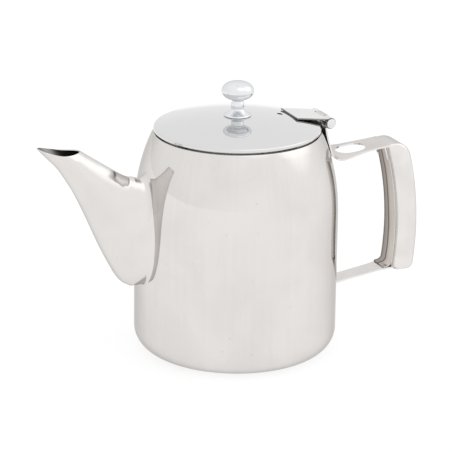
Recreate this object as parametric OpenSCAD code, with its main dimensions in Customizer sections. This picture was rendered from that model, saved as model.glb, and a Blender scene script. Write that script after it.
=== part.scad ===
// Two-litre steel teapot with a hinged lid.
// Frame: origin at the centre of the base, +Z up, +X towards the handle, the spout along -X.

/* [Body] */
// Radius of the straight wall
body_r = 69.2; // [66:0.1:75]
// Height of the ledge round the mouth
ledge_z = 152.2; // [145:0.1:156]
// Inside radius of the mouth
mouth_r = 53; // [52.8:0.1:54]
// Radius of the rounded edge at the base
base_edge_r = 15; // [8:0.5:22]
// Height at which the shoulder starts to curve inward
shoulder_z = 92; // [80:1:110]
// Thickness of the drawn steel
wall = 0.9; // [0.6:0.1:1.2]

/* [Spout] */
// Half width of the spout where it meets the body
spout_root_w = 19.5; // [16:0.5:24]
// Half width of the spout at its mouth
spout_mouth_w = 9.3; // [7:0.1:12]
// Diameter of a strainer hole
strainer_d = 4; // [2:0.5:5]

/* [Lid] */
// Outside radius of the lid
lid_r = 56.3; // [55.5:0.1:56.6]
// Height of the turned-down edge
lid_edge_h = 2.2; // [1.5:0.1:3]
// Rise of the dome over its edge
lid_rise = 7.5; // [6:0.1:9]
// Thickness of the lid
lid_t = 0.8; // [0.6:0.1:1]
// Diameter of the steam hole
steam_hole_d = 4; // [2:0.5:5]
// Depth of the locating ring below the lid's edge
ring_depth = 6; // [4:0.5:8]

/* [Knob] */
// Diameter of the ball
ball_d = 22; // [16:0.5:26]
// Height of the ball
ball_h = 13; // [8:0.5:16]
// Height of the knob over the lid
knob_h = 23.6; // [20:0.1:30]
// Diameter of the neck
neck_d = 8.4; // [6:0.1:10]
// Diameter of the cone at the foot
cone_d = 18.6; // [14:0.1:22]

/* [Hinge] */
// Distance of the pin from the pot's axis
pin_x = 62.8; // [62:0.1:63.5]
// Radius of the pin
pin_r = 2.7; // [2.2:0.05:2.8]
// Outside radius of the knuckles
knuckle_r = 3.9; // [3.7:0.05:4]
// Width of the leaf
leaf_w = 26.8; // [20:0.2:30]
// Width of the strap's knuckle, in the middle
strap_knuckle_w = 12; // [8:0.5:14]
// Length of the leaf on the lid
leaf_l = 24.9; // [18:0.1:28]

/* [Handle] */
// Thickness of the straps
strap_t = 1.2; // [1:0.1:1.4]
// Width of the strap on the shoulder
leg_w = 19; // [16:0.5:22]
// Width of the strap where it leaves the shoulder
foot_w = 33; // [26:0.5:36]
// Width of the upper arm at the grip
arm_w = 23; // [22:0.5:24]
// Width of the lower arm
lower_arm_w = 14.6; // [12:0.1:16]
// Width of the grip
grip_w = 25; // [24:0.5:28]
// Depth of the grip, from the palm to the inner plate
grip_depth = 16.4; // [15:0.1:18]
// Radius to which the grip is bowed
bow_r = 211; // [180:1:260]
// Diameter of the hinge pin's heads
pin_head_d = 6.6; // [6:0.1:7.4]

/* [Hidden] */
$fn = 96;

// Free space between the lid's solids and the pot's solids
gap = 0.3;
// Running clearance of the leaf's knuckles on the pin
pin_play = 0.05;
// Overlap that keeps a cut clear of the surface that it starts from
cut = 1;

// Heights that follow from the body's
mouth_z = ledge_z + 3;
lid_edge_z = ledge_z + 1.3;
lid_top_z = lid_edge_z + lid_edge_h + lid_rise;
pin_z = ledge_z + 2.4;

// Points of an arc round c, from angle a0 to a1
function arc(c, r, a0, a1, n = 8) =
    [for (i = [0:n]) let (a = a0 + (a1 - a0) * i / n) c + r * [cos(a), sin(a)]];

// Unit normal to the left of the way from p to q
function left_of(p, q) = let (d = (q - p) / norm(q - p)) [-d.y, d.x];

// Unit normal to the left of a path at its point i
function path_normal(path, i) =
    let (
        last = len(path) - 1,
        before = left_of(path[max(i - 1, 0)], path[max(i, 1)]),
        after = left_of(path[min(i, last - 1)], path[min(i + 1, last)])
    )
    (before + after) / norm(before + after);

// Outline of a bent sheet of thickness t that lies on the left of a path
function sheet(path, t) = concat(
    path,
    [for (i = [len(path) - 1:-1:0]) path[i] + t * path_normal(path, i)]
);

// Extrudes an outline in X and Z over a width centred on the plane of symmetry
module across(w) {
    rotate([90, 0, 0]) linear_extrude(w, center = true) children();
}

// Radius of the body's outside at the height z on the shoulder
shoulder_draw = 12.4;
function shoulder_r(z) = body_r - shoulder_draw * pow((z - shoulder_z) / (ledge_z - shoulder_z), 2.3);

// The body's outside from the middle of the base to the ledge, drawn in by d
shoulder_steps = 14;
function body_side(d) = concat(
    [[0, d]],
    arc([body_r - base_edge_r, base_edge_r], base_edge_r - d, -90, 0, 12),
    [for (i = [0:shoulder_steps - 1]) let (z = shoulder_z + (ledge_z - shoulder_z) * i / shoulder_steps)
        [shoulder_r(z) - d, z - 0.4 * d * i / shoulder_steps]],
    arc([shoulder_r(ledge_z) - 1, ledge_z - 1], 1 - d / 2, 20, 90, 3)
);

module pot_body() {
    lip = wall / 2;
    color("gainsboro") difference() {
        rotate_extrude() polygon(concat(
            body_side(0),
            [[mouth_r + wall, ledge_z]],
            arc([mouth_r + lip, mouth_z - lip], lip, 0, 180, 6),
            [[mouth_r, ledge_z - wall]],
            [for (i = [len(body_side(wall)) - 1:-1:0]) body_side(wall)[i]]
        ));
        strainer_holes();
    }
}

// Strainer holes through the wall behind the spout
strainer_rows = 8;
strainer_cols = 5;
strainer_pitch = 6.2;
strainer_z = 88;
strainer_depth = 12;
module strainer_holes() {
    for (row = [0:strainer_rows - 1], col = [0:strainer_cols - 1]) {
        y = (col - (strainer_cols - 1) / 2) * strainer_pitch;
        z = strainer_z + (row - (strainer_rows - 1) / 2) * strainer_pitch;
        translate([-body_r, y, z]) rotate([0, 90, 0])
            cylinder(d = strainer_d, h = strainer_depth, center = true, $fn = 24);
    }
}

// Radius of the body's outside at a height between the base's edge and the ledge
function outside_r(z) = z > shoulder_z ? shoulder_r(z) : body_r;

// The spout's stations from the body to its mouth, each with its lowest point, its highest point, its
// half width and the exponent of its oval section
spout_stations = [
    [[-69, 51.6], [-66, 130], spout_root_w, 2.8],
    [[-73, 52], [-70.4, 128.8], spout_root_w - 1.8, 2.7],
    [[-78, 52.8], [-74.5, 128], spout_root_w - 3.4, 2.6],
    [[-83.5, 56], [-78.5, 128.8], spout_root_w - 4.4, 2.5],
    [[-87.5, 61], [-82.5, 130.7], spout_root_w - 5.1, 2.4],
    [[-92.5, 70], [-86.5, 133.2], spout_root_w - 5.8, 2.3],
    [[-98.5, 82], [-91, 136.1], spout_root_w - 6.6, 2.2],
    [[-104.5, 95.5], [-95.5, 139.1], spout_mouth_w + 2.8, 2.1],
    [[-110.5, 109], [-99.5, 141.8], spout_mouth_w + 2, 2],
    [[-116.5, 121.4], [-103, 144.2], spout_mouth_w + 1.4, 2],
    [[-122.4, 131.4], [-106, 146.2], spout_mouth_w + 0.9, 2],
    [[-128.2, 140], [-108.5, 148], spout_mouth_w + 0.5, 2],
    [[-134.2, 146.4], [-110.3, 149.2], spout_mouth_w + 0.2, 2],
    [[-141.2, 153.9], [-112, 150.3], spout_mouth_w, 2]
];
spout_sides = 32;
mouth_dip = 1.8;

// One ring of the spout, drawn in by d: the first lies on the body, and the last dips at its sides
function signed_power(x, p) = sign(x) * pow(abs(x), p);
function oval_ring(s, d) = let (
    middle = (s[0] + s[1]) / 2,
    up = (s[1] - s[0]) / norm(s[1] - s[0]),
    h = norm(s[1] - s[0]) / 2 - d,
    w = s[2] - d
) [for (i = [0:spout_sides - 1]) let (
    a = 360 * i / spout_sides,
    p = middle + up * h * signed_power(sin(a), 2 / s[3])
) [p.x, w * signed_power(cos(a), 2 / s[3]), p.y]];
function spout_ring(j, d) = let (ring = oval_ring(spout_stations[j], d))
    j == 0 ? [for (p = ring) [-sqrt(pow(outside_r(p.z), 2) - p.y * p.y), p.y, p.z]] :
    j < len(spout_stations) - 1 ? ring :
    [for (i = [0:spout_sides - 1]) ring[i] - [0, 0, mouth_dip * pow(cos(360 * i / spout_sides), 2)]];

// The spout is one closed skin: out along its outside, over the mouth's rim, back along its inside and
// over the rim that is welded to the body
module spout() {
    k = spout_sides;
    n = len(spout_stations);
    color("whitesmoke") polyhedron(
        concat(
            [for (j = [0:n - 1]) each spout_ring(j, 0)],
            [for (j = [n - 1:-1:0]) each spout_ring(j, wall)]
        ),
        [for (j = [0:2 * n - 1], i = [0:k - 1]) let (m = (i + 1) % k, e = (j + 1) % (2 * n))
            each [[j * k + i, j * k + m, e * k + i], [j * k + m, e * k + m, e * k + i]]]
    );
}

// Foot of the strap, where it leaves the shoulder and turns out into the upper arm
foot_z = 132;
foot_r = 5.5;
arm_slope = 6;
arm_end_x = 109.5;
weld_gap = 0.05;

// Side of the strap that lies on the shoulder, from its top end down, and on as the arm's underside
leg_x = pin_x - knuckle_r;
foot_lean = atan(shoulder_r(foot_z - 1) - shoulder_r(foot_z));
leg_line = concat(
    [[leg_x, pin_z], [leg_x, ledge_z - 2.4]],
    [for (z = [ledge_z - 5:-2.9:foot_z]) [shoulder_r(z) + weld_gap, z]]
);
leg_end = leg_line[len(leg_line) - 1];
foot_c = leg_end + foot_r * [cos(foot_lean), sin(foot_lean)];
arm_foot = foot_c + foot_r * [sin(arm_slope), -cos(arm_slope)];
arm_end = arm_foot + (arm_end_x - arm_foot.x) * [1, tan(arm_slope)];
strap_line = concat(leg_line, arc(foot_c, foot_r, 190 + foot_lean, 270 + arm_slope, 7), [arm_end]);

// Half of the strap's outline seen from above, from the hinge to the grip
strap_plan = [
    [leg_x - cut, leg_w / 2], [leg_end.x - 2, leg_w / 2 + 1], [leg_end.x + 1, foot_w / 2 - 3],
    [leg_end.x + 4, foot_w / 2 - 0.6], [leg_end.x + 7, foot_w / 2], [leg_end.x + 11, foot_w / 2 - 0.6],
    [leg_end.x + 28, arm_w / 2 + 0.6], [leg_end.x + 33, arm_w / 2], [arm_end_x, arm_w / 2]
];
finger_slot_x = 84.5;
finger_slot_l = 21.5;
finger_slot_w = 17.5;

// An eye round the pin, drawn as an XZ outline with the slit where its sheet ends
eye_slit = 0.6;
module eye(hole_r, slit_angle) {
    difference() {
        circle(r = knuckle_r);
        circle(r = hole_r);
        rotate(slit_angle) translate([0, -eye_slit / 2]) square([knuckle_r + cut, eye_slit]);
    }
}

module handle_strap() {
    side_y = strap_knuckle_w / 2;
    color("lightgray") union() {
        difference() {
            intersection() {
                across(foot_w) polygon(sheet(strap_line, strap_t));
                linear_extrude(mouth_z + 20) polygon(concat(
                    strap_plan,
                    [for (i = [len(strap_plan) - 1:-1:0]) [strap_plan[i].x, -strap_plan[i].y]]
                ));
            }
            // The top of the leg is cut away beside its knuckle
            for (side = [-1, 1])
                translate([leg_x - cut, side > 0 ? side_y : -side_y - leg_w, pin_z - knuckle_r - gap])
                    cube([10, leg_w, 20]);
            // The slot for the finger
            translate([finger_slot_x, 0, foot_z - 10]) linear_extrude(20) union() {
                for (end = [-1, 1]) translate([end * (finger_slot_l - finger_slot_w) / 2, 0])
                    circle(d = finger_slot_w);
                square([finger_slot_l - finger_slot_w, finger_slot_w], center = true);
            }
            translate([pin_x, 0, pin_z]) across(leg_w) circle(r = pin_r);
        }
        translate([pin_x, 0, pin_z]) across(strap_knuckle_w) eye(pin_r, -100);
    }
}

module hinge_pin() {
    shank_l = leaf_w + 1.2;
    head_t = 1.3;
    dome_r = 9;
    head_r = pin_head_d / 2;
    dome_h = dome_r - sqrt(dome_r * dome_r - head_r * head_r);
    color("silver") translate([pin_x, 0, pin_z]) rotate([90, 0, 0]) rotate_extrude() polygon(concat(
        [[0, -shank_l / 2 - head_t]],
        [for (i = [1:4]) let (r = head_r * i / 4)
            [r, -shank_l / 2 - head_t + dome_h * r * r / (head_r * head_r)]],
        [[head_r, -shank_l / 2], [pin_r, -shank_l / 2], [pin_r, shank_l / 2], [head_r, shank_l / 2]],
        [for (i = [4:-1:1]) let (r = head_r * i / 4)
            [r, shank_l / 2 + head_t - dome_h * r * r / (head_r * head_r)]],
        [[0, shank_l / 2 + head_t]]
    ));
}

// The grip is bowed about an axis at bow_c. At its top it turns about corner_c into the arm's top face,
// and at its heel it turns about heel_c into its level underside
grip_x = 133;
bow_c = [grip_x - bow_r, 73];
bow_in_r = bow_r - grip_depth;
corner_r = 13;
arm_way = [cos(arm_slope), sin(arm_slope)];
corner_start = arm_foot + (strap_t - corner_r) * [-arm_way.y, arm_way.x];
corner_back = (corner_start - bow_c) * arm_way;
corner_c = corner_start + arm_way * (sqrt(
    pow(corner_back, 2) - pow(norm(corner_start - bow_c), 2) + pow(bow_r - corner_r, 2)
) - corner_back);
corner_a = asin((corner_c.y - bow_c.y) / (bow_r - corner_r));
grip_bottom_z = 42.4;
heel_r = 6;
heel_a = asin((grip_bottom_z + heel_r - bow_c.y) / (bow_r - heel_r));
heel_c = bow_c + (bow_r - heel_r) * [cos(heel_a), sin(heel_a)];
grip_t = 1;
grip_edge_r = 4.5;
grip_lip_r = 2;
arm_edge_r = 1.2;
plate_w = 16;
plate_gap = 0.15;
foot_a = asin((grip_bottom_z + arm_edge_r + 0.5 - bow_c.y) / bow_in_r);
foot_x = bow_c.x + bow_in_r * cos(foot_a) + 3.1;
plate_top_a = corner_a + 3.5;

// The grip's stations from its heel to the arm, each with its point on the palm's side, the angle of the
// way inward from there, the angle of its lip on the bow, the radius of its edges and its width
heel_steps = 5;
bow_steps = 12;
corner_steps = 7;
grip_stations = concat(
    [[[foot_x, grip_bottom_z], 90, foot_a, arm_edge_r, grip_w]],
    [for (i = [0:heel_steps]) let (a = -90 + (heel_a + 90) * i / heel_steps)
        [heel_c + heel_r * [cos(a), sin(a)], a + 180,
            foot_a + (heel_a - foot_a) * (i + 1) / (heel_steps + 1),
            arm_edge_r + (grip_edge_r - arm_edge_r) * i / heel_steps, grip_w]],
    [for (i = [1:bow_steps - 1]) let (a = heel_a + (corner_a - heel_a) * i / bow_steps)
        [bow_c + bow_r * [cos(a), sin(a)], a + 180, a, grip_edge_r, grip_w]],
    [for (i = [0:corner_steps]) let (a = corner_a + (90 + arm_slope - corner_a) * i / corner_steps)
        [corner_c + corner_r * [cos(a), sin(a)], a + 180,
            corner_a + (plate_top_a - corner_a) * i / (corner_steps + 1),
            grip_edge_r + (arm_edge_r - grip_edge_r) * i / corner_steps,
            grip_w + (arm_w - grip_w) * i / corner_steps]],
    [[arm_end + [weld_gap, 0] + strap_t * [-arm_way.y, arm_way.x], arm_slope - 90, plate_top_a,
        arm_edge_r, arm_w]]
);

// Half of the grip's section at one station, from the middle of the palm's side round to its lip,
// drawn in by d
function grip_half(s, d) = let (
    inward = [cos(s[1]), sin(s[1])],
    lip_way = [cos(s[2]), sin(s[2])],
    lip = bow_c + bow_in_r * lip_way,
    r = s[3],
    side = s[4] / 2
) concat(
    [for (a = [0:18:90]) let (p = s[0] + inward * (r - (r - d) * cos(a)))
        [p.x, side - r + (r - d) * sin(a), p.y]],
    [for (a = [0:30:90]) let (p = lip + lip_way * (grip_lip_r - (grip_lip_r - d) * sin(a)))
        [p.x, side - grip_lip_r + (grip_lip_r - d) * cos(a), p.y]],
    [let (p = lip + lip_way * d) [p.x, plate_w / 2 + plate_gap, p.y]]
);
function grip_side(s, d) = let (half = grip_half(s, d))
    concat([for (i = [len(half) - 1:-1:0]) [half[i].x, -half[i].y, half[i].z]], half);
function backward(list) = [for (i = [len(list) - 1:-1:0]) list[i]];

// The grip is one closed skin: a channel that is open towards the body between its two lips
module handle_grip() {
    loops = [for (s = grip_stations) concat(grip_side(s, 0), backward(grip_side(s, grip_t)))];
    k = len(loops[0]);
    last = len(loops) - 1;
    color("lightgray") polyhedron(
        [for (loop = loops) each loop],
        concat(
            [for (j = [0:last - 1], i = [0:k - 1]) let (m = (i + 1) % k, near = j * k, far = near + k)
                each [[near + m, near + i, far + i], [near + m, far + i, far + m]]],
            [for (i = [0:k / 2 - 2]) each [[i, i + 1, k - 1 - i], [i + 1, k - 2 - i, k - 1 - i]]],
            [for (i = [0:k / 2 - 2]) each [
                [last * k + i + 1, last * k + i, last * k + k - 1 - i],
                [last * k + i + 1, last * k + k - 1 - i, last * k + k - 2 - i]
            ]]
        )
    );
}

module grip_inner_plate() {
    turn_r = 4;
    turn_a = -7.2;
    turn_c = bow_c + (bow_in_r - turn_r) * [cos(turn_a), sin(turn_a)];
    plate_line = concat(
        arc(bow_c, bow_in_r, plate_top_a, turn_a, 24),
        arc(turn_c, turn_r, turn_a - 8, -82, 6),
        [turn_c + turn_r * [sin(lower_slope), -cos(lower_slope)] - 4 * [cos(lower_slope), sin(lower_slope)]]
    );
    color("darkgray") across(plate_w) polygon(sheet(plate_line, grip_t));
}

// Line of the lower arm's underside: down the body as a tab, out to the grip, and into its foot
lower_slope = 8.8;
tab_top_z = 54;
tab_turn_r = 4.5;
tab_turn_z = 41.2;
tab_x = body_r + weld_gap;
tab_turn_c = [tab_x + tab_turn_r, tab_turn_z];
lower_start = tab_turn_c + tab_turn_r * [sin(lower_slope), -cos(lower_slope)];
lower_end_z = grip_bottom_z + grip_t + weld_gap;
lower_line = concat(
    [[tab_x, tab_top_z]],
    arc(tab_turn_c, tab_turn_r, 180, 270 + lower_slope, 8),
    [[lower_start.x + (lower_end_z - lower_start.y) / tan(lower_slope), lower_end_z]],
    [[heel_c.x - 0.5, lower_end_z]]
);
module handle_lower_arm() {
    color("lightgray") across(lower_arm_w) polygon(sheet(lower_line, strap_t));
}

// Height of the lid's outside at the distance r from the axis
function dome(r) = lid_top_z - lid_rise * pow(r / lid_r, 2);
dome_steps = 10;
lid_corner_r = 1.2;
screw_d = 4;
steam_x = 31;

module lid() {
    edge_r = lid_r - lid_corner_r;
    hole_r = screw_d / 2 + 0.2;
    color("gainsboro") difference() {
        rotate_extrude() polygon(concat(
            [for (i = [0:dome_steps]) let (r = hole_r + (edge_r - hole_r) * i / dome_steps) [r, dome(r)]],
            arc([edge_r, dome(edge_r) - lid_corner_r], lid_corner_r, 75, 0, 5),
            [[lid_r, lid_edge_z], [lid_r - lid_t, lid_edge_z]],
            [for (i = [dome_steps:-1:0]) let (r = hole_r + (edge_r - hole_r) * i / dome_steps)
                [r, dome(r) - lid_t]]
        ));
        translate([steam_x, 0, lid_edge_z]) cylinder(d = steam_hole_d, h = 20, $fn = 32);
    }
}

module lid_locating_ring() {
    outer = mouth_r - 0.7;
    flange = 4;
    top = [for (i = [0:3]) let (r = outer - flange + flange * i / 3) [r, dome(r) - lid_t - weld_gap]];
    color("silver") rotate_extrude() polygon(concat(
        top,
        [[outer, lid_edge_z - ring_depth], [outer - lid_t, lid_edge_z - ring_depth]],
        [for (i = [2:-1:0]) top[i] - [0, lid_t]]
    ));
}

// Line of the leaf's upper side, from its free edge to its knuckles
leaf_t = knuckle_r - pin_r - pin_play;
leaf_tip_x = pin_x - leaf_l;
knuckle_room = 2.6;
leaf_fold = [pin_x, pin_z] + knuckle_r * [cos(118), sin(118)];
module lid_hinge_leaf() {
    tip = [leaf_tip_x, dome(leaf_tip_x) + leaf_t];
    side_w = (leaf_w - strap_knuckle_w) / 2 - gap;
    color("gainsboro") union() {
        difference() {
            across(leaf_w) polygon(sheet([leaf_fold + [1, 0.2], leaf_fold, tip], leaf_t));
            // Room for the strap's knuckle, and for the pin
            translate([leaf_fold.x - knuckle_room, -strap_knuckle_w / 2 - gap, pin_z - 10])
                cube([20, strap_knuckle_w + 2 * gap, 20]);
            translate([pin_x, 0, pin_z]) across(leaf_w + 2) circle(r = pin_r + pin_play);
        }
        for (side = [-1, 1])
            translate([pin_x, side * (leaf_w - side_w) / 2, pin_z]) across(side_w)
                eye(pin_r + pin_play, 172);
    }
}

module knob() {
    ball_z = knob_h - ball_h / 2;
    neck_top = ball_z - ball_h / 2 * sqrt(1 - pow(neck_d / ball_d, 2));
    bore_r = screw_d / 2 + 0.05;
    cone_r = cone_d / 2;
    neck_r = neck_d / 2;
    color("aliceblue") translate([0, 0, lid_top_z]) rotate_extrude() polygon(concat(
        [[bore_r, 0.6], [cone_r - 2, 0.6], [cone_r - 1.2, -0.2], [cone_r, -0.2], [cone_r, 0.5]],
        [[cone_r - 2.4, 2], [neck_r + 0.5, 4.1], [neck_r, 4.4]],
        [[neck_r + 0.25, 6.5], [neck_r + 0.2, 8.8], [neck_r - 0.4, 9.6], [neck_r - 0.4, 10.4]],
        [for (a = [-66:6:90]) [ball_d / 2 * cos(a), ball_z + ball_h / 2 * sin(a)]],
        [[0, 11], [bore_r, 9.6]]
    ));
}

// The screw goes up through washer and lid into the knob
screw_head_d = 8;
screw_head_h = 2.4;
washer_t = 0.8;
washer_d = 11;
screw_l = 10;
washer_top = lid_top_z - lid_t - 0.2;
module knob_screw() {
    z = washer_top - washer_t;
    color("silver") difference() {
        union() {
            translate([0, 0, z - screw_head_h]) cylinder(d = screw_head_d, h = screw_head_h);
            translate([0, 0, z - 0.5]) cylinder(d = screw_d, h = screw_l + 0.5);
        }
        translate([-screw_head_d, -0.6, z - screw_head_h - 1]) cube([2 * screw_head_d, 1.2, 2]);
    }
}

module knob_washer() {
    color("silver") translate([0, 0, washer_top - washer_t]) difference() {
        cylinder(d = washer_d, h = washer_t);
        translate([0, 0, -cut]) cylinder(d = screw_d + 0.3, h = washer_t + 2 * cut);
    }
}

pot_body();
spout();
handle_strap();
handle_grip();
grip_inner_plate();
handle_lower_arm();
hinge_pin();
lid();
lid_locating_ring();
lid_hinge_leaf();
knob();
knob_screw();
knob_washer();
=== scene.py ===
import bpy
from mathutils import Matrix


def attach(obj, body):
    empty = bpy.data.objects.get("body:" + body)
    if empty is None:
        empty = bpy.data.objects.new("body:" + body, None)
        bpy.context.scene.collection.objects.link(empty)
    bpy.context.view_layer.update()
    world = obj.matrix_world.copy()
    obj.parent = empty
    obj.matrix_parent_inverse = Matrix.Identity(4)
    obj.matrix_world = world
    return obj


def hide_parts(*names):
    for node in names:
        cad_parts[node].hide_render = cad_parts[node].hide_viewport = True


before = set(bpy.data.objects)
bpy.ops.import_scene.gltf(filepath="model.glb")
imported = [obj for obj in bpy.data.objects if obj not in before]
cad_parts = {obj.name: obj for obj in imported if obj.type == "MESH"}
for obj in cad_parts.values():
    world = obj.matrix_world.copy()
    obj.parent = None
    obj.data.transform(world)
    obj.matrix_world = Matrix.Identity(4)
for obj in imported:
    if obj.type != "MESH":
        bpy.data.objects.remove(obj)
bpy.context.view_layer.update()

from math import asin, atan, cos, degrees, pi, radians, sin, sqrt, tan
from types import SimpleNamespace

import bmesh
import bpy
from mathutils import Matrix, Vector

MM = 0.001

# ---------------------------------------------------------------- camera and studio

# Angles in degrees, distances in metres, lens and sensor in millimetres
CAMERA_AZIMUTH = -23.0
CAMERA_ELEVATION = 18.654
CAMERA_ROLL = 0.757
CAMERA_DISTANCE = 1.6639
LOOK_AT_SIDE = -0.006713
LOOK_AT_HEIGHT = 0.084757
LENS = 195.18
SENSOR = 36

# The tent's brightness at the horizon, and the way in which it grows
TENT_LEVEL = 1.02
TENT_LEAN = (0.04, -0.05, 0.03)
# The tent's two bright parts, over the camera and high on the right: the way to each, its strength, and
# the cosine of the angle at which it starts
TENT_GLOWS = (((0.15, -0.45, 0.88), 0.30, 0.89), ((0.78, -0.24, 0.60), 0.34, 0.85))
GLOW_HEART = 0.985


def stand_camera():
    """Looks at the pot from its spout's side, slightly from above."""
    azimuth, elevation, roll = radians(CAMERA_AZIMUTH), radians(CAMERA_ELEVATION), radians(CAMERA_ROLL)
    back = Vector((sin(azimuth) * cos(elevation), -cos(azimuth) * cos(elevation), sin(elevation)))
    level = Vector((cos(azimuth), sin(azimuth), 0))
    upright = back.cross(level)
    right = cos(roll) * level + sin(roll) * upright
    up = cos(roll) * upright - sin(roll) * level
    data = bpy.data.cameras.new("camera")
    data.lens, data.sensor_width = LENS, SENSOR
    data.clip_start, data.clip_end = 0.1, 30
    camera = bpy.data.objects.new("camera", data)
    bpy.context.collection.objects.link(camera)
    pose = Matrix((right, up, back)).transposed().to_4x4()
    pose.translation = level * LOOK_AT_SIDE + Vector((0, 0, LOOK_AT_HEIGHT)) + back * CAMERA_DISTANCE
    camera.matrix_world = pose
    bpy.context.scene.camera = camera


def softbox(name, direction, distance, width, height, radiance):
    """A soft white panel that faces the pot from a direction."""
    data = bpy.data.lights.new(name, "AREA")
    data.shape, data.size, data.size_y = "RECTANGLE", width, height
    data.energy = radiance * pi * width * height
    panel = bpy.data.objects.new(name, data)
    bpy.context.collection.objects.link(panel)
    way = Vector(direction).normalized()
    panel.location = Vector((0, 0, 0.09)) + way * distance
    panel.rotation_euler = way.to_track_quat("Z", "Y").to_euler()


def hang_tent():
    """A white tent with two brighter parts, and one faint panel over the camera."""
    bpy.context.scene.view_settings.view_transform = "Standard"
    world = bpy.data.worlds.new("tent")
    bpy.context.scene.world = world
    world.use_nodes = True
    tree = world.node_tree
    tree.nodes.clear()
    out = tree.nodes.new("ShaderNodeOutputWorld")
    sky = tree.nodes.new("ShaderNodeBackground")
    sky.inputs["Color"].default_value = (1, 1, 1, 1)
    where = tree.nodes.new("ShaderNodeTexCoord")

    def toward(way):
        dot = tree.nodes.new("ShaderNodeVectorMath")
        dot.operation = "DOT_PRODUCT"
        dot.inputs[1].default_value = way
        tree.links.new(where.outputs["Generated"], dot.inputs[0])
        return dot.outputs["Value"]

    def add(first, second):
        total = tree.nodes.new("ShaderNodeMath")
        tree.links.new(first, total.inputs[0])
        tree.links.new(second, total.inputs[1])
        return total.outputs[0]

    level = tree.nodes.new("ShaderNodeMath")
    level.inputs[1].default_value = TENT_LEVEL
    tree.links.new(toward(TENT_LEAN), level.inputs[0])
    brightness = level.outputs[0]
    for way, strength, edge in TENT_GLOWS:
        glow = tree.nodes.new("ShaderNodeMapRange")
        glow.interpolation_type = "SMOOTHSTEP"
        glow.inputs["From Min"].default_value = edge
        glow.inputs["From Max"].default_value = GLOW_HEART
        glow.inputs["To Max"].default_value = strength
        tree.links.new(toward(Vector(way).normalized()), glow.inputs["Value"])
        brightness = add(brightness, glow.outputs[0])
    tree.links.new(brightness, sky.inputs["Strength"])
    tree.links.new(sky.outputs[0], out.inputs["Surface"])
    softbox("panel_over_camera", (0.10, -0.50, 0.86), 1.6, 1.3, 0.6, 0.05)


def lay_floor():
    """A plain pale floor, just under the base."""
    bm = bmesh.new()
    bmesh.ops.create_grid(bm, x_segments=1, y_segments=1, size=6)
    mesh = bpy.data.meshes.new("floor")
    bm.to_mesh(mesh)
    floor = bpy.data.objects.new("floor", mesh)
    floor.location.z = -0.00005
    bpy.context.collection.objects.link(floor)
    paper = bpy.data.materials.new("paper")
    paper.use_nodes = True
    shader = paper.node_tree.nodes["Principled BSDF"]
    shader.inputs["Base Color"].default_value = (0.24, 0.24, 0.24, 1)
    shader.inputs["Roughness"].default_value = 0.9
    shader.inputs["Specular IOR Level"].default_value = 0.1
    shader.inputs["Emission Color"].default_value = (1, 1, 1, 1)
    shader.inputs["Emission Strength"].default_value = 0.78
    mesh.materials.append(paper)


# ---------------------------------------------------------------- finishes


class Wire:
    """A socket whose Python operators add Math nodes."""

    def __init__(self, finish, socket):
        self.finish, self.socket = finish, socket

    def math(self, operation, *terms):
        return self.finish.node("ShaderNodeMath", {"operation": operation}, dict(enumerate(terms)))

    def __add__(self, other):
        return self.math("ADD", self, other)

    __radd__ = __add__

    def __sub__(self, other):
        return self.math("SUBTRACT", self, other)

    def __rsub__(self, other):
        return self.math("SUBTRACT", other, self)

    def __mul__(self, other):
        return self.math("MULTIPLY", self, other)

    __rmul__ = __mul__

    def __pow__(self, other):
        return self.math("POWER", self, other)


class Finish:
    """A metal finish, with its nodes added one at a time."""

    def __init__(self, name, edge_tint):
        self.material = bpy.data.materials.new(name)
        self.material.use_nodes = True
        self.tree = self.material.node_tree
        self.shader = self.tree.nodes["Principled BSDF"]
        self.shader.inputs["Metallic"].default_value = 1.0
        self.shader.inputs["Specular Tint"].default_value = (*edge_tint, 1)
        self.place = self.node("ShaderNodeTexCoord", {}, {}, "Object")

    def node(self, kind, settings, sockets, output=0):
        made = self.tree.nodes.new(kind)
        for key, value in settings.items():
            setattr(made, key, value)
        for key, value in sockets.items():
            if isinstance(value, Wire):
                self.tree.links.new(value.socket, made.inputs[key])
            else:
                made.inputs[key].default_value = value
        return Wire(self, made.outputs[output])

    def axis(self, letter):
        return self.node("ShaderNodeSeparateXYZ", {}, {0: self.place}, letter)

    def vector(self, x, y, z):
        return self.node("ShaderNodeCombineXYZ", {}, {"X": x, "Y": y, "Z": z})

    def noise(self, vector, scale, detail=2.0, distortion=0.0):
        return self.node("ShaderNodeTexNoise", {},
                         {"Vector": vector, "Scale": scale, "Detail": detail, "Distortion": distortion})

    def band(self, value, low, high):
        """Rises softly from 0 to 1 as a value goes from low to high."""
        return self.node("ShaderNodeMapRange", {"interpolation_type": "SMOOTHSTEP"},
                         {"Value": value, "From Min": low, "From Max": high})

    def blend(self, share, first, second):
        """Mixes two colours: a share of 0 gives the first, and 1 the second."""
        first, second = (c if isinstance(c, Wire) else (*c, 1) for c in (first, second))
        return self.node("ShaderNodeMix", {"data_type": "RGBA"}, {0: share, 6: first, 7: second}, 2)

    def feed(self, **inputs):
        for key, wire in inputs.items():
            self.tree.links.new(wire.socket, self.shader.inputs[key.replace("_", " ")])

    def bump(self, height, strength, distance):
        self.feed(Normal=self.node("ShaderNodeBump", {}, {
            "Height": height, "Strength": strength, "Distance": distance}, "Normal"))


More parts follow.
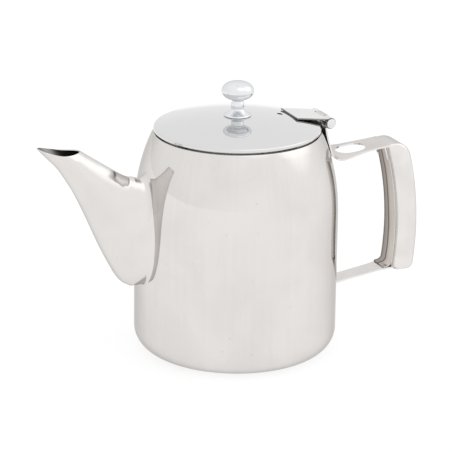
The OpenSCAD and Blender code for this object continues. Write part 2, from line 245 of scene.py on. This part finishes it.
def polished(name, light, dark, edge_tint, rough, lines, cloud_scale=28.0, wave=0.12, paint_shade=None):
    """Polished steel: clouds of tone, fine lines left by the polishing wheel, and a slightly uneven skin.
    lines makes the vector across which the polishing lines are packed. rough is the least roughness, then
    what the clouds and the lines add to it."""
    finish = Finish(name, edge_tint)
    clouds = finish.noise(finish.place, cloud_scale, 3.0, 0.6)
    grain = finish.noise(lines(finish), 1.0, 3.0)
    pits = finish.noise(finish.place, 420.0, 1.0)
    tone = finish.band(clouds * 0.82 + grain * 0.18, 0.32, 0.68)
    colour = finish.blend(tone, dark, light)
    speck = finish.band(pits, 0.76, 0.82)
    colour = finish.blend(speck * 0.35, colour, tuple(0.55 * c for c in dark))
    # The last argument, where given, lays painted shade over the colour
    if paint_shade:
        colour = paint_shade(finish, colour)
    finish.feed(Base_Color=colour, Roughness=rough[0] + clouds * rough[1] + grain * rough[2])
    finish.bump(finish.noise(finish.place, 46.0, 1.0) * 0.8 + grain * 0.05, wave, 0.001)
    return finish.material


def round_the_pot(finish):
    """Lines that run up the wall, a few to the centimetre round it."""
    turn = finish.node("ShaderNodeMath", {"operation": "ARCTAN2"}, {0: finish.axis("Y"), 1: finish.axis("X")})
    return finish.vector(turn * 22.0, finish.axis("Z") * 9.0, 0.0)


def along_the_handle(finish):
    return finish.vector(finish.axis("X") * 260.0, finish.axis("Y") * 420.0, finish.axis("Z") * 14.0)


def across_the_lid(finish):
    return finish.vector(finish.axis("X") * 16.0, finish.axis("Y") * 700.0, finish.axis("Z") * 8.0)


def round_the_axis(finish):
    """Turning marks: lines that run round the upright axis."""
    reach = (finish.axis("X") ** 2.0 + finish.axis("Y") ** 2.0) ** 0.5
    return finish.vector(reach * 1600.0, finish.axis("Z") * 1600.0, 0.0)


def plate_painted_shade(finish, colour):
    """Brownish painted shade down the plate, darkest at its far side, with one dark line of painted shade
    that wanders.
    """
    across = finish.axis("Y") * 1000.0
    wander = finish.noise(finish.vector(0.0, 0.0, finish.axis("Z") * 16.0), 1.0, 2.0) * 6.0 - 3.0
    colour = finish.blend(finish.band(across + wander * 0.6, -6.0, 7.0), colour, (0.34, 0.31, 0.285))
    line = across + wander - 1.0
    colour = finish.blend(finish.band(line.math("ABSOLUTE", line), 0.3, 1.5), (0.17, 0.15, 0.14), colour)
    return finish.blend(finish.band(across, 6.2, 7.6), colour, (0.12, 0.11, 0.11))


# The colour that a finish takes where it is seen along its surface
STEEL_EDGE = (0.66, 0.65, 0.64)
BRIGHT_EDGE = (0.98, 0.98, 0.98)


def mix_finishes():
    warm_light, warm_dark = (0.752, 0.731, 0.715), (0.700, 0.675, 0.656)
    return {
        "body_steel": polished("polished_wall", warm_light, warm_dark, STEEL_EDGE, (0.035, 0.05, 0.015),
                               round_the_pot, 20.0, 0.07),
        "spout_steel": polished("polished_spout", (0.752, 0.731, 0.716), (0.712, 0.690, 0.674), STEEL_EDGE,
                                (0.06, 0.05, 0.02), round_the_pot, 34.0, 0.12),
        "lid_steel": polished("mirror_lid", (0.706, 0.706, 0.708), (0.692, 0.692, 0.694), BRIGHT_EDGE,
                              (0.02, 0.03, 0.02), across_the_lid, 20.0, 0.03),
        "handle_steel": polished("polished_handle", (0.790, 0.768, 0.750), (0.730, 0.707, 0.690), STEEL_EDGE,
                                 (0.12, 0.08, 0.05), along_the_handle, 40.0, 0.07),
        # The inner plate's finish has painted shade laid over it, darkest toward its far side
        "plate_steel": polished("plate_with_painted_shade", (0.66, 0.61, 0.57), (0.56, 0.51, 0.47), (0.5, 0.48, 0.46),
                                (0.20, 0.08, 0.06), along_the_handle, 30.0, 0.10, plate_painted_shade),
        "hinge_steel": polished("satin_leaf", (0.775, 0.778, 0.786), (0.745, 0.747, 0.755), BRIGHT_EDGE,
                                (0.16, 0.06, 0.04), across_the_lid, 60.0, 0.06),
        "knob_chrome": polished("bright_chrome", (0.80, 0.815, 0.835), (0.765, 0.78, 0.80), (0.8, 0.8, 0.8),
                                (0.02, 0.02, 0.02), round_the_axis, 40.0, 0.03),
        # A dark finish that is painted shade: it goes inside the spout, under the hinge leaf and along its
        # edges, and on the leg's side that faces the pot
        "painted_shade_steel": polished("painted_shade_inside", (0.34, 0.33, 0.32), (0.26, 0.25, 0.24), (0.3, 0.3, 0.3),
                                 (0.30, 0.10, 0.10), round_the_axis, 50.0, 0.15),
        "inner_steel": polished("turned_steel", (0.60, 0.59, 0.58), (0.50, 0.49, 0.48), STEEL_EDGE,
                                (0.22, 0.10, 0.10), round_the_axis, 60.0, 0.15),
    }


# ---------------------------------------------------------------- making pieces


def arc(x, y, r, start, end, steps):
    """Points of an arc, with its angles in degrees."""
    turns = [radians(start + (end - start) * i / steps) for i in range(steps + 1)]
    return [(x + r * cos(t), y + r * sin(t)) for t in turns]


def moved_left(path, distance):
    """A path moved to its left by a distance."""
    points = [Vector(p) for p in path]
    ways = [(q - p).normalized() for p, q in zip(points, points[1:])]
    moved = []
    for i, p in enumerate(points):
        way = (ways[max(i - 1, 0)] + ways[min(i, len(ways) - 1)]).normalized()
        moved.append((p.x - way.y * distance, p.y + way.x * distance))
    return moved


def smooth_through(table, x):
    """Reads y at x from (x, y) rows, easing through each row."""
    if x <= table[0][0]:
        return table[0][1]
    for (x0, y0), (x1, y1) in zip(table, table[1:]):
        if x <= x1:
            t = (x - x0) / (x1 - x0)
            return y0 + (y1 - y0) * t * t * (3 - 2 * t)
    return table[-1][1]


def loft(rings, closed=False):
    """Carries the first ring of points through the others as an extruded skin."""
    bm = bmesh.new()
    line = [bm.verts.new(Vector(p) * MM) for p in rings[0]]
    pairs = list(zip(line, line[1:]))
    if closed:
        pairs.append((line[-1], line[0]))
    edges = [bm.edges.new(pair) for pair in pairs]
    for ring in rings[1:]:
        made = bmesh.ops.extrude_edge_only(bm, edges=edges)["geom"]
        fresh = {v for v in made if isinstance(v, bmesh.types.BMVert)}
        line = [next(e.other_vert(v) for e in v.link_edges if e.other_vert(v) in fresh) for v in line]
        for v, p in zip(line, ring):
            v.co = Vector(p) * MM
        edges = [e for e in made if isinstance(e, bmesh.types.BMEdge) and fresh.issuperset(e.verts)]
    return bm


def spun(profile, steps=144, upright=True, closed=True):
    """Turns a profile of (radius, height) points about an upright axis, or about one along Y."""
    bm = bmesh.new()
    verts = [bm.verts.new(Vector((r, 0, h) if upright else (r, h, 0)) * MM) for r, h in profile]
    pairs = list(zip(verts, verts[1:]))
    if closed:
        pairs.append((verts[-1], verts[0]))
    edges = [bm.edges.new(pair) for pair in pairs]
    bmesh.ops.spin(bm, geom=verts + edges, cent=(0, 0, 0), axis=(0, 0, 1) if upright else (0, 1, 0),
                   dvec=(0, 0, 0), angle=2 * pi, steps=steps, use_merge=True, use_duplicate=False)
    bmesh.ops.remove_doubles(bm, verts=bm.verts, dist=1e-7)
    bmesh.ops.recalc_face_normals(bm, faces=bm.faces)
    return bm


def shade(bm, sharp):
    """Shades faces smooth, and keeps the edges past an angle sharp."""
    bm.normal_update()
    for face in bm.faces:
        face.smooth = True
    for edge in bm.edges:
        edge.smooth = len(edge.link_faces) == 2 and edge.calc_face_angle(0) < radians(sharp)


def as_object(bm, name, sharp=38):
    """A smooth-shaded object whose edges past an angle stay sharp."""
    shade(bm, sharp)
    mesh = bpy.data.meshes.new(name)
    bm.to_mesh(mesh)
    bm.free()
    thing = bpy.data.objects.new(name, mesh)
    bpy.context.collection.objects.link(thing)
    return thing


def middle(face):
    """A face's middle, in millimetres."""
    return face.calc_center_median() / MM


def thicken(thing, wall, side=-1.0, other_finish=0, edge_finish=0):
    """Gives a skin its wall: side -1 puts it behind the skin, and 0 half on each side. The wall's other
    side and its edges may have the piece's second finish."""
    modifier = thing.modifiers.new("wall", "SOLIDIFY")
    modifier.thickness, modifier.offset = wall * MM, side
    modifier.use_even_offset = False
    modifier.material_offset, modifier.material_offset_rim = other_finish, edge_finish


def soften(thing, radius, segments=2, angle=40):
    """Rounds the edges past an angle."""
    modifier = thing.modifiers.new("round", "BEVEL")
    modifier.width, modifier.segments = radius * MM, segments
    modifier.limit_method, modifier.angle_limit = "ANGLE", radians(angle)
    modifier.harden_normals = False


def rod(bm, place, radius, depth, segments, turn=Matrix.Identity(4)):
    """Adds a round cutter, upright unless it is turned."""
    bmesh.ops.create_cone(bm, cap_ends=True, segments=segments, radius1=radius * MM, radius2=radius * MM,
                          depth=depth * MM, matrix=Matrix.Translation(Vector(place) * MM) @ turn)


def cut_away(thing, cutter):
    """Cuts one object out of another and keeps the result as the mesh."""
    modifier = thing.modifiers.new("cut", "BOOLEAN")
    modifier.operation, modifier.solver, modifier.object = "DIFFERENCE", "EXACT", cutter
    settle(thing)
    bpy.data.objects.remove(cutter)


def settle(thing):
    """Makes an object's modifiers part of its mesh."""
    bpy.context.view_layer.update()
    made = bpy.data.meshes.new_from_object(thing.evaluated_get(bpy.context.evaluated_depsgraph_get()))
    thing.modifiers.clear()
    thing.data = made


def sharpen(thing, angle=38):
    """Marks the edges past an angle as sharp, once the mesh is whole."""
    bm = bmesh.new()
    bm.from_mesh(thing.data)
    shade(bm, angle)
    bm.to_mesh(thing.data)
    bm.free()


def finished(thing, finish, body, node, second=None):
    """Gives a piece its finish, or two, and says what it rides on and which node it stands for."""
    thing.data.materials.clear()
    for material in (finish, second) if second else (finish,):
        thing.data.materials.append(material)
    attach(thing, body)
    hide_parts(node)
    return thing


# ---------------------------------------------------------------- the pot's measures, in millimetres

BODY_R = 69.2
LEDGE_Z = 152.2
MOUTH_R = 53.0
SHOULDER_Z = 92.0
SHOULDER_DRAW = 12.4
BASE_EDGE_R = 15.0
WALL = 0.9
LID_R = 56.3
LID_EDGE_Z = LEDGE_Z + 1.3
LID_EDGE_H = 2.2
LID_RISE = 7.5
LID_TOP_Z = LID_EDGE_Z + LID_EDGE_H + LID_RISE
LID_T = 0.8
PIN = Vector((62.8, 154.6))
PIN_R = 2.7
KNUCKLE_R = 3.9
STRAP_T = 1.2
STRAP_KNUCKLE_W = 12.0
GRIP_W = 25.0
# The strainer's holes and the lid's steam hole
HOLE_R = 2.0
STRAINER_ROWS = 8
STRAINER_COLUMNS = 5
STRAINER_PITCH = 6.2
STRAINER_Z = 88
STEAM_X = 31


def shoulder_r(z):
    """Radius of the wall's outside at a height."""
    if z <= SHOULDER_Z:
        return BODY_R
    return BODY_R - SHOULDER_DRAW * ((z - SHOULDER_Z) / (LEDGE_Z - SHOULDER_Z)) ** 2.3


def dome(r):
    """Height of the lid's outside at a distance from its axis."""
    return LID_TOP_Z - LID_RISE * (r / LID_R) ** 2


def make_body(finish):
    side = arc(BODY_R - BASE_EDGE_R, BASE_EDGE_R, BASE_EDGE_R, -90, 0, 18)
    side += [(BODY_R, z) for z in range(20, int(SHOULDER_Z), 4)]
    side += [(shoulder_r(z), z) for z in [SHOULDER_Z + 2.5 * i for i in range(24)]]
    inside = [(r, max(z, WALL)) for r, z in moved_left(side, WALL)]
    base = [(0, 1.3), (20, 1.25), (38, 1.0), (43, 0.75), (46, 0.3), (48.5, 0.05), (50, 0)]
    rim = arc(shoulder_r(LEDGE_Z) - 1.0, LEDGE_Z - 1.0, 1.0, 22, 90, 5)
    lip = arc(MOUTH_R + WALL / 2, LEDGE_Z + 3 - WALL / 2, WALL / 2, 0, 180, 8)
    outside = base + side + rim + [(MOUTH_R + WALL + 0.5, LEDGE_Z), (MOUTH_R + WALL, LEDGE_Z + 0.4)] + lip
    inner = [(MOUTH_R, LEDGE_Z - WALL), (shoulder_r(LEDGE_Z) - 2.2, LEDGE_Z - WALL - 0.2)]
    inner += list(reversed(inside))
    floor = [(46, 1.3), (43, 1.7), (38, 1.95), (20, 2.2), (0, 2.25)]
    body = as_object(spun(outside + inner + floor, steps=176, closed=False), "pot_body_wall")
    holes = bmesh.new()
    sideways = Matrix.Rotation(pi / 2, 4, "Y")
    for row in range(STRAINER_ROWS):
        for column in range(STRAINER_COLUMNS):
            across = (column - (STRAINER_COLUMNS - 1) / 2) * STRAINER_PITCH
            height = STRAINER_Z + (row - (STRAINER_ROWS - 1) / 2) * STRAINER_PITCH
            rod(holes, (-BODY_R, across, height), HOLE_R, 14, 20, sideways)
    cut_away(body, as_object(holes, "strainer_cutter"))
    sharpen(body)
    return finished(body, finish, "pot", "pot_body")


SPOUT_STATIONS = [
    ((-78, 52.8), (-74.5, 128), 16.1, 2.6), ((-83.5, 56), (-78.5, 128.8), 15.1, 2.5),
    ((-87.5, 61), (-82.5, 130.7), 14.4, 2.4), ((-92.5, 70), (-86.5, 133.2), 13.7, 2.3),
    ((-98.5, 82), (-91, 136.1), 12.9, 2.2), ((-104.5, 95.5), (-95.5, 139.1), 12.1, 2.1),
    ((-110.5, 109), (-99.5, 141.8), 11.3, 2.0), ((-116.5, 121.4), (-103, 144.2), 10.7, 2.0),
    ((-122.4, 131.4), (-106, 146.2), 10.2, 2.0), ((-128.2, 140), (-108.5, 148), 9.8, 2.0),
    ((-134.2, 146.4), (-110.3, 149.2), 9.5, 2.0), ((-141.2, 153.9), (-112, 150.3), 9.3, 2.0),
]
SPOUT_SIDES = 64
# How much of the lower half's squareness the upper half has, and how much narrower its sides lean in
UPPER_SQUARENESS = 0.2
SPOUT_LEAN = 0.16


def between(rows, t):
    """A point on the smooth curve through equally spaced rows of numbers."""
    i = min(int(t), len(rows) - 2)
    u = t - i
    a, b, c, d = (rows[min(max(i + k, 0), len(rows) - 1)] for k in (-1, 0, 1, 2))
    return [
        0.5 * (2 * q + (r - p) * u + (2 * p - 5 * q + 4 * r - s) * u * u + (3 * q - p - 3 * r + s) * u ** 3)
        for p, q, r, s in zip(a, b, c, d)
    ]


def oval(low, high, half_width, power, dip=0.0):
    """One ring of the spout, as points in space."""
    low, high = Vector(low), Vector(high)
    middle, up = (low + high) / 2, (high - low).normalized()
    half = (high - low).length / 2
    ring = []
    for i in range(SPOUT_SIDES):
        turn = 2 * pi * i / SPOUT_SIDES
        s, c = sin(turn), cos(turn)
        bend = power if s < 0 else 2.0 + (power - 2.0) * UPPER_SQUARENESS
        p = middle + up * half * (abs(s) ** (2 / bend)) * (1 if s > 0 else -1)
        y = half_width * (abs(c) ** (2 / bend)) * (1 if c > 0 else -1) * (1.0 - SPOUT_LEAN * max(s, 0.0))
        ring.append(Vector((p.x, y, p.y - dip * c * c)))
    return ring


def make_spout(finish, inside):
    rows = [[*low, *high, w, p] for low, high, w, p in SPOUT_STATIONS]
    rings = []
    for i in range(6 * (len(rows) - 1) + 1):
        x0, z0, x1, z1, w, p = between(rows, i / 6)
        share = i / (6 * (len(rows) - 1))
        rings.append(oval((x0, z0), (x1, z1), w, p, 1.8 * max(0.0, share * 6 - 5)))
    # The weld at the root: each side of the spout turns out onto the wall through a small hollow curve
    foot = oval((-69, 53.2), (-66, 126.6), 16.7, 2.7)
    root = []
    steps = 8
    for k in range(steps + 1):
        turn = radians(90 * k / steps)
        ring = []
        for i, p in enumerate(foot):
            round_it = 2 * pi * i / SPOUT_SIDES
            outward = Vector((0, cos(round_it), sin(round_it)))
            upper = max(0.0, sin(round_it))
            lower = max(0.0, -sin(round_it))
            radius = 3.4 + 1.4 * upper ** 2 - 2.2 * lower ** 2
            spread = p + outward * radius * (1 - sin(turn))
            wall = sqrt(max(shoulder_r(spread.z) ** 2 - spread.y ** 2, 0))
            ring.append(Vector((-wall + 0.12 - radius * (1 - cos(turn)), spread.y, spread.z)))
        root.append(ring)
    spout = as_object(loft(root + rings, closed=True), "spout_shell", 50)
    # The wall's inner side takes the second finish: painted shade for the inside of the spout
    thicken(spout, WALL, other_finish=1)
    soften(spout, 0.3, 3, 60)
    return finished(spout, finish, "pot", "spout", inside)


def make_lid(finish):
    edge = 1.3
    hole = 2.2
    reach = [hole + (LID_R - edge - hole) * i / 26 for i in range(27)]
    top = [(r, dome(r)) for r in reach]
    top += arc(LID_R - edge, dome(LID_R - edge) - edge, edge, 76, 0, 7)
    top += arc(LID_R - 0.4, LID_EDGE_Z + 0.4, 0.4, 0, -180, 5)
    under = [(LID_R - edge - 0.2, dome(LID_R - edge) - LID_T - 0.6)]
    under += [(r - 0.1, z - LID_T) for r, z in reversed(top[:26])]
    lid = as_object(spun(top + under, steps=176), "lid_dome")
    drill = bmesh.new()
    rod(drill, (STEAM_X, 0, 160), HOLE_R, 12, 32)
    cut_away(lid, as_object(drill, "steam_hole_cutter"))
    sharpen(lid)
    return finished(lid, finish, "lid", "lid")


def make_ring(finish):
    outer = MOUTH_R - 0.7
    flange = [(outer - 4 + i, dome(outer - 4 + i) - LID_T - 0.05) for i in range(4)]
    profile = flange + arc(outer - 0.5, dome(outer) - LID_T - 0.55, 0.5, 75, 0, 4)
    profile += arc(outer - 0.4, LID_EDGE_Z - 6 + 0.4, 0.4, 0, -180, 6)
    profile.append((outer - 0.8, dome(outer) - 2 * LID_T - 0.5))
    profile += [(r, z - LID_T) for r, z in reversed(flange[:3])]
    ring = as_object(spun(profile, steps=144), "lid_ring")
    return finished(ring, finish, "lid", "lid_locating_ring")


def make_knob(finish):
    ball_r, half_h, ball_z = 11.0, 6.5, 17.1
    ball = [(ball_r * cos(radians(a)) ** 0.86, ball_z + half_h * sin(radians(a))) for a in range(-70, 90, 4)]
    ball += [(0.2, 23.6), (0, 23.6)]
    foot = [(2.05, 0.9), (7.4, 0.7), (8.1, 0.0), (8.7, -0.15), (9.15, 0.05), (9.3, 0.4), (9.15, 0.75)]
    cone = [(8.2, 1.15), (6.6, 2.2), (5.2, 3.4), (4.6, 4.0), (4.3, 4.35), (4.25, 4.7)]
    neck = [(4.45, 6.4), (4.45, 8.4), (4.3, 9.0), (3.85, 9.5), (3.8, 10.2), (4.0, 10.8)]
    screw_r, bore_side_z, bore_end_z = 2.05, 9.6, 11.0
    outline = [(screw_r, bore_side_z)] + foot + cone + neck + ball + [(0, bore_end_z)]
    knob = as_object(spun([(r, z + LID_TOP_Z) for r, z in outline], steps=96), "lid_knob", 48)
    return finished(knob, finish, "lid", "knob")


def make_pin(finish):
    shank, head, dome_h = 14.0, 3.3, 0.6
    end = [(head * i / 8, shank + 1.3 - dome_h * (i / 8) ** 2) for i in range(8)]
    end += [(head - 0.1, shank + 0.6), (head, shank + 0.35), (head - 0.15, shank), (PIN_R, shank)]
    profile = end + [(r, -y) for r, y in reversed(end)]
    pin = spun(profile, steps=48, upright=False, closed=False)
    bmesh.ops.translate(pin, verts=pin.verts, vec=Vector((PIN.x, 0, PIN.y)) * MM)
    return finished(as_object(pin, "hinge_pin_rivet", 50), finish, "pot", "hinge_pin")


def make_leaf(finish, inside):
    thick, half_w, gap_w = 1.15, 13.4, 6.3
    tip = Vector((37.9, dome(37.9) + thick))
    fold = PIN + KNUCKLE_R * Vector((cos(radians(118)), sin(radians(118))))
    cutout = (fold.x - tip.x - 1.5) / (fold.x - tip.x)
    plate = [tip.lerp(fold, t) for t in (0, 0.04, 0.25, 0.5, 0.75, cutout, 0.99)]
    barrel = [Vector(p) for p in arc(PIN.x, PIN.y, KNUCKLE_R, 116, -186, 36)]
    path = [Vector(p) for p in moved_left([(p.x, p.y) for p in plate + barrel], -thick / 2)]
    columns = (-half_w, -half_w + 0.8, -10, -gap_w, -3, 0, 3, gap_w, 10, half_w - 0.8, half_w)
    bm = loft([[(p.x, y, p.y) for y in columns] for p in path])
    inner = [f for f in bm.faces if abs(middle(f).y) < gap_w and middle(f).x > fold.x - 1.55]
    bmesh.ops.delete(bm, geom=inner, context="FACES")
    leaf = as_object(bm, "hinge_leaf", 15)
    # The leaf's underside and edges take the second finish: painted shade under the leaf and along its edges
    thicken(leaf, thick, 0.0, 1, 1)
    soften(leaf, 0.22, 2, 60)
    return finished(leaf, finish, "lid", "lid_hinge_leaf", inside)


ARM_SLOPE = 6.0
FOOT_R = 5.5
ARM_END_X = 109.5
ARM_STEPS = 16
# The straight leg's top end, and the height at which the painted shade on its side turned to the pot ends
LEG_TOP = (61.0, 147.6)
LEG_FOOT_Z = 134.0
# The finger slot: its middle, the radius of its ends and how far each is moved out
SLOT_PLACE = (84.5, 0, 132)
SLOT_R = 8.75
SLOT_REACH = 2.0


def strap_path():
    """The strap's inner line from the hinge down to its foot and out along the arm, and the foot's x."""
    leg = arc(PIN.x, PIN.y, KNUCKLE_R, 180, 212, 4) + [(60.5, 150.4), LEG_TOP]
    low_z = LEDGE_Z - 5 - 2.9 * 5
    top, low = Vector(LEG_TOP), Vector((shoulder_r(low_z) + 0.05, low_z))
    straight = [tuple(top.lerp(low, i / 6)) for i in range(1, 7)]
    lean = degrees(atan(shoulder_r(131) - shoulder_r(132)))
    end = Vector(straight[-1])
    centre = end + FOOT_R * Vector((cos(radians(lean)), sin(radians(lean))))
    foot = arc(centre.x, centre.y, FOOT_R, 185 + lean, 270 + ARM_SLOPE, 12)
    slope = Vector((cos(radians(ARM_SLOPE)), sin(radians(ARM_SLOPE))))
    start = Vector(foot[-1])
    reach = (ARM_END_X - start.x) / slope.x
    arm = [start + slope * reach * t / ARM_STEPS for t in range(1, ARM_STEPS + 1)]
    return leg + straight + foot + [(p.x, p.y) for p in arm], end.x


def make_strap(finish, inside):
    line, leg_x = strap_path()
    plan = [(leg_x - 6, 9.5), (leg_x - 2, 10.2), (leg_x + 1, 12.9), (leg_x + 4, 15.6), (leg_x + 7, 16.5),
            (leg_x + 11, 15.9), (leg_x + 20, 13.7), (leg_x + 29, 12.0), (leg_x + 36, 11.5), (ARM_END_X, 11.5)]
    eye = arc(PIN.x, PIN.y, KNUCKLE_R, -96, 180, 30)
    path = [Vector(p) for p in moved_left(eye[:-1] + line, STRAP_T / 2)]
    rows = []
    for i, p in enumerate(path):
        half = smooth_through(plan, p.x) if i >= len(eye) - 1 else 9.5
        outer = half - 0.5 * (half - 6)
        columns = [-half, -outer, -6.0, -3.0, 0.0, 3.0, 6.0, outer, half]
        sag = 0.9 * smooth_through([(66, 0), (73, 1), (80, 0.7), (95, 0)], p.x)
        rows.append([(p.x, y, p.y - sag * (abs(y) / half) ** 3) for y in columns])
    bm = loft(rows)
    # Beside its knuckle, the top of the leg is cut away
    spare = [f for f in bm.faces if abs(middle(f).y) > STRAP_KNUCKLE_W / 2
             and middle(f).z > PIN.y - KNUCKLE_R - 0.3 and middle(f).x < 68]
    bmesh.ops.delete(bm, geom=spare, context="FACES")
    strap = as_object(bm, "handle_strap_bent", 30)
    thicken(strap, STRAP_T, 0.0)
    settle(strap)
    slot = bmesh.new()
    rod(slot, (0, 0, 0), SLOT_R, 24, 56)
    for v in slot.verts:
        v.co.x += SLOT_REACH * MM * (1 if v.co.x > 1e-6 else -1 if v.co.x < -1e-6 else 0)
    bmesh.ops.translate(slot, verts=slot.verts, vec=Vector(SLOT_PLACE) * MM)
    cut_away(strap, as_object(slot, "slot_cutter"))
    sharpen(strap, 30)
    soften(strap, 0.25, 2, 50)
    finished(strap, finish, "pot", "handle_strap", inside)
    # The side of the leg that is turned to the pot, between LEG_FOOT_Z and the knuckle, takes the dark second
    # finish: painted shade in the gap between the leg and the pot
    for face in strap.data.polygons:
        on_leg = LEG_FOOT_Z * MM < face.center.z < (PIN.y - 1.0) * MM
        face.material_index = int(face.normal.x < -0.5 and on_leg)
    return strap


BOW_R = 211.0
BOW = Vector((133.0 - BOW_R, 73.0))
BOW_IN_R = BOW_R - 16.4
CORNER_R = 13.0
HEEL_R = 6.0
GRIP_BOTTOM_Z = 42.4
PLATE_W = 16.0
PLATE_TOP_A = 3.5
LIP_DEPTH = 8.5


def direction(angle):
    return Vector((cos(radians(angle)), sin(radians(angle))))


def grip_bends():
    """Centres and angles of the grip's corner and heel."""
    line, _ = strap_path()
    foot = Vector(line[-ARM_STEPS - 1])
    way = direction(ARM_SLOPE)
    start = foot + (STRAP_T - CORNER_R) * Vector((-way.y, way.x))
    back = (start - BOW).dot(way)
    corner = start + way * (sqrt(back ** 2 - (start - BOW).length_squared + (BOW_R - CORNER_R) ** 2) - back)
    corner_a = degrees(asin((corner.y - BOW.y) / (BOW_R - CORNER_R)))
    heel_a = degrees(asin((GRIP_BOTTOM_Z + HEEL_R - BOW.y) / (BOW_R - HEEL_R)))
    heel = BOW + (BOW_R - HEEL_R) * direction(heel_a)
    foot_a = degrees(asin((GRIP_BOTTOM_Z + 1.7 - BOW.y) / BOW_IN_R))
    arm_end = foot + way * ((ARM_END_X - foot.x) / way.x)
    return SimpleNamespace(corner=corner, corner_a=corner_a, heel=heel, heel_a=heel_a, foot_a=foot_a,
                           arm_end=arm_end)


def make_grip(finish):
    bends = grip_bends()
    corner_a, heel_a, foot_a = bends.corner_a, bends.heel_a, bends.foot_a
    edge_r, arm_edge_r, lip_r, arm_w = 4.8, 1.2, 4.4, 23.0
    plate_top = corner_a + PLATE_TOP_A
    way = direction(ARM_SLOPE)
    bottom = Vector(((BOW + BOW_IN_R * direction(foot_a)).x + 3.1, GRIP_BOTTOM_Z))
    stations = [(bottom, 90, foot_a, arm_edge_r, GRIP_W)]
    for i in range(11):
        a = -90 + (heel_a + 90) * i / 10
        lip_a = foot_a + (heel_a - foot_a) * (i + 1) / 11
        stations.append((bends.heel + HEEL_R * direction(a), a + 180, lip_a,
                         arm_edge_r + (edge_r - arm_edge_r) * i / 10, GRIP_W))
    for i in range(1, 30):
        a = heel_a + (corner_a - heel_a) * i / 30
        stations.append((BOW + BOW_R * direction(a), a + 180, a, edge_r, GRIP_W))
    for i in range(17):
        a = corner_a + (90 + ARM_SLOPE - corner_a) * i / 16
        share = smooth_through([(0, 0), (1, 1)], i / 16)
        lip_a = corner_a + (plate_top - corner_a) * i / 17
        stations.append((bends.corner + CORNER_R * direction(a), a + 180, lip_a,
                         edge_r + (arm_edge_r - edge_r) * share, GRIP_W + (arm_w - GRIP_W) * share))
    # The grip's end lies on the arm's, so that their weld doesn't show
    over_arm = bends.arm_end - way * 2.0 + (STRAP_T + 0.02) * Vector((-way.y, way.x))
    stations.append((over_arm, ARM_SLOPE - 90, plate_top, arm_edge_r, arm_w + 0.04))
    rings = []
    for place, inward_a, lip_a, r, width in stations:
        inward, lip_way = direction(inward_a), direction(lip_a)
        lip = BOW + BOW_IN_R * lip_way
        side = width / 2
        half = [(place, side * 0.35)]
        for a in range(0, 91, 10):
            half.append((place + inward * (r - r * cos(radians(a))), side - r + r * sin(radians(a))))
        lip_depth = min(LIP_DEPTH, 0.45 * (place - lip).length)
        for a in range(0, 91, 10):
            inset = lip_depth * (1 - sin(radians(a)))
            half.append((lip + lip_way * inset, side - lip_r + lip_r * cos(radians(a))))
        half.append((lip, PLATE_W / 2 + 0.02))
        ring = [(p.x, -y, p.y) for p, y in reversed(half)] + [(place.x, 0, place.y)]
        rings.append(ring + [(p.x, y, p.y) for p, y in half])
    grip = as_object(loft(rings), "handle_grip_shell", 40)
    thicken(grip, 1.0, 1.0)
    soften(grip, 0.15, 2, 60)
    return finished(grip, finish, "pot", "handle_grip")


LOWER_SLOPE = 8.8


def make_plate(finish):
    corner_a = grip_bends().corner_a
    turn_r, turn_a = 4.0, -7.2
    turn = BOW + (BOW_IN_R - turn_r) * direction(turn_a) - Vector((0, 0.4))
    line = arc(BOW.x, BOW.y, BOW_IN_R, corner_a + PLATE_TOP_A, turn_a, 36)
    line += arc(turn.x, turn.y, turn_r, turn_a - 6, -82, 8)
    last = turn + turn_r * Vector((sin(radians(LOWER_SLOPE)), -cos(radians(LOWER_SLOPE))))
    line.append(tuple(last - 2.5 * direction(LOWER_SLOPE)))
    path = [Vector(p) for p in moved_left(line, 0.5)]
    columns = (-8, -5, -2.5, 0, 2.5, 5, 8)
    plate = as_object(loft([[(p.x, y, p.y) for y in columns] for p in path]), "grip_plate", 50)
    thicken(plate, 1.0, 0.0)
    soften(plate, 0.2, 2, 60)
    return finished(plate, finish, "pot", "grip_inner_plate")


def make_lower_arm(finish):
    tab_x, tab_turn_r, tab_turn_z = BODY_R + 0.05, 4.5, 41.2
    turn = Vector((tab_x + tab_turn_r, tab_turn_z))
    start = turn + tab_turn_r * Vector((sin(radians(LOWER_SLOPE)), -cos(radians(LOWER_SLOPE))))
    end_z = GRIP_BOTTOM_Z + 1.05
    bend = Vector((start.x + (end_z - start.y) / tan(radians(LOWER_SLOPE)), end_z))
    heel = grip_bends().heel
    line = [(tab_x, 54), (tab_x, 50)] + arc(turn.x, turn.y, tab_turn_r, 180, 270 + LOWER_SLOPE, 10)
    line += [tuple(start.lerp(bend, t / 12)) for t in range(1, 13)]
    line.append((heel.x - 0.5, end_z))
    path = [Vector(p) for p in moved_left(line, STRAP_T / 2)]
    rows = []
    for p in path:
        half = 7.3 + smooth_through([(104, 0), (114.5, 1.9), (116, 0)], p.x)
        rows.append([(p.x, y, p.y) for y in (-half, -half * 0.7, -half * 0.3, half * 0.3, half * 0.7, half)])
    arm = as_object(loft(rows), "lower_arm", 30)
    thicken(arm, STRAP_T, 0.0)
    soften(arm, 0.3, 2, 60)
    return finished(arm, finish, "pot", "handle_lower_arm")


def main():
    stand_camera()
    hang_tent()
    lay_floor()
    finish = mix_finishes()
    make_body(finish["body_steel"])
    make_spout(finish["spout_steel"], finish["painted_shade_steel"])
    make_lid(finish["lid_steel"])
    make_ring(finish["inner_steel"])
    make_knob(finish["knob_chrome"])
    make_pin(finish["hinge_steel"])
    make_leaf(finish["hinge_steel"], finish["painted_shade_steel"])
    make_strap(finish["handle_steel"], finish["painted_shade_steel"])
    make_grip(finish["handle_steel"])
    make_plate(finish["plate_steel"])
    make_lower_arm(finish["handle_steel"])
    for name in ("knob_screw", "knob_washer"):
        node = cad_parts[name]
        node.data.materials.clear()
        node.data.materials.append(finish["inner_steel"])


main()
